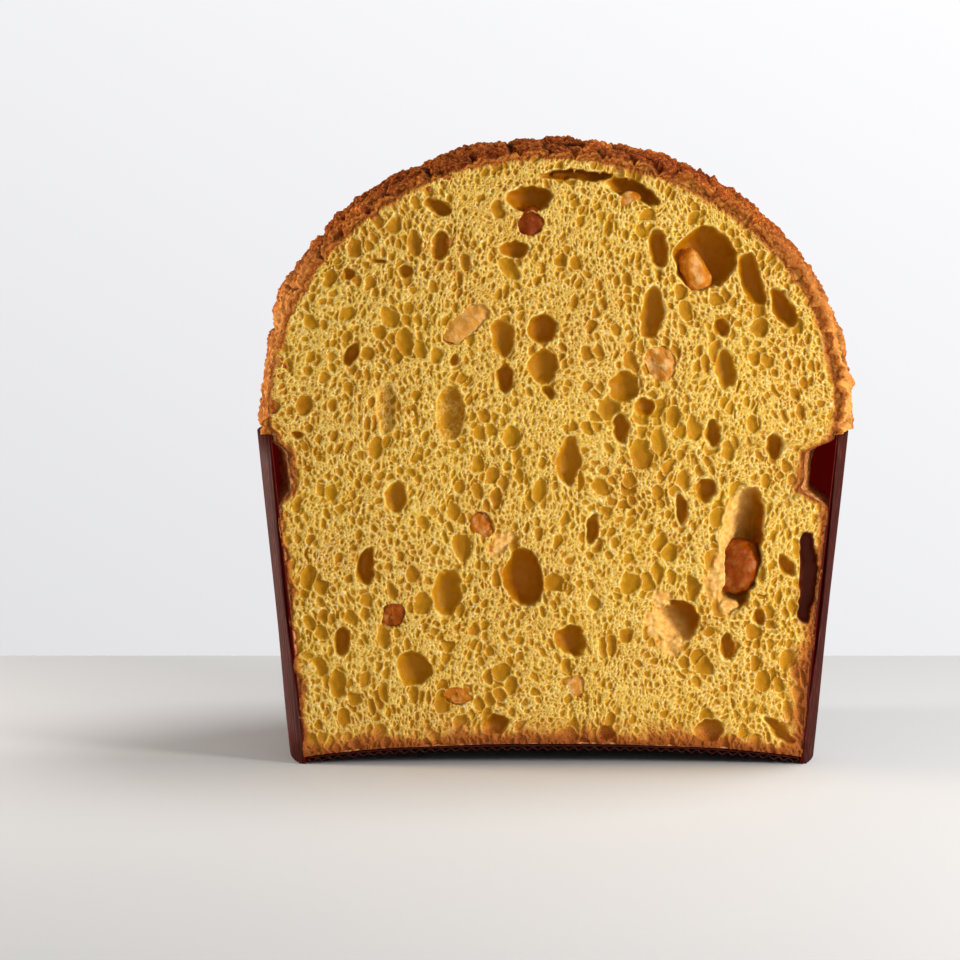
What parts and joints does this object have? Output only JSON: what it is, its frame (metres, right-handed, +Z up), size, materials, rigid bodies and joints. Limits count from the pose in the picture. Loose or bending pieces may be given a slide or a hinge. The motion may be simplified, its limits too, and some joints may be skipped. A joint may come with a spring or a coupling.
{
  "type": "panettone",
  "caption": "Domed sweet loaf with a crackled crust, cut upright to show its crumb and candied peel, standing in its fluted paper baking case.",
  "frame": {"origin": "middle of the footprint's box, on the table", "axes": "+Z up, the cut face looks along -Y, +X to the right of someone facing the cut"},
  "size_m": [0.1878, 0.1204, 0.1948],
  "materials": {
    "crumb": "soft open golden crumb, matte, with browned crust outside",
    "crust": "crackled baked biscuit crust, matte and granular",
    "case_paper": "dark brown fluted baking paper, satin",
    "candied_peel": "moist translucent candied orange peel"
  },
  "bodies": {
    "root": {"loaf": "crumb", "case_wall": "case_paper", "case_base": "case_paper", "peel_1": "candied_peel", "peel_2": "candied_peel", "peel_3": "candied_peel", "peel_4": "candied_peel", "peel_5": "candied_peel", "peel_6": "candied_peel", "peel_7": "candied_peel", "peel_8": "candied_peel", "peel_9": "candied_peel", "peel_10": "candied_peel", "peel_11": "candied_peel"}
  },
  "joints": []
}
